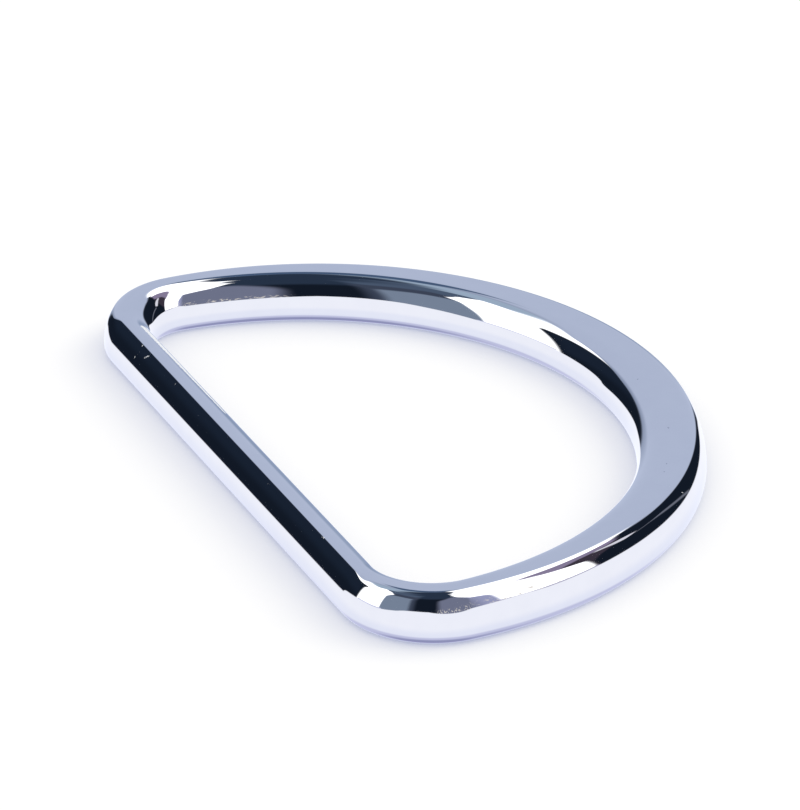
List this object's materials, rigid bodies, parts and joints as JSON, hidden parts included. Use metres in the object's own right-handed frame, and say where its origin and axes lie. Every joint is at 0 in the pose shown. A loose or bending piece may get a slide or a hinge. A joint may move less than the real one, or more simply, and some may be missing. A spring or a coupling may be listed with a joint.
{
  "type": "d ring",
  "caption": "Flat cast D ring: a straight bar for a strap, rounded corners and a wider bow, with softly rounded top edges and a flat back.",
  "frame": {"origin": "middle of the ring's depth and width, on the flat back that it lies on", "axes": "+X from the straight bar to the crown of the bow, +Y along the bar, +Z out of the rounded front face"},
  "size_m": [0.028, 0.0442, 0.0028],
  "materials": {
    "plated_metal": "mirror-bright nickel-like plating with a faint cast waviness and fine handling scratches"
  },
  "bodies": {
    "root": {"d_ring": "plated_metal"}
  },
  "joints": []
}
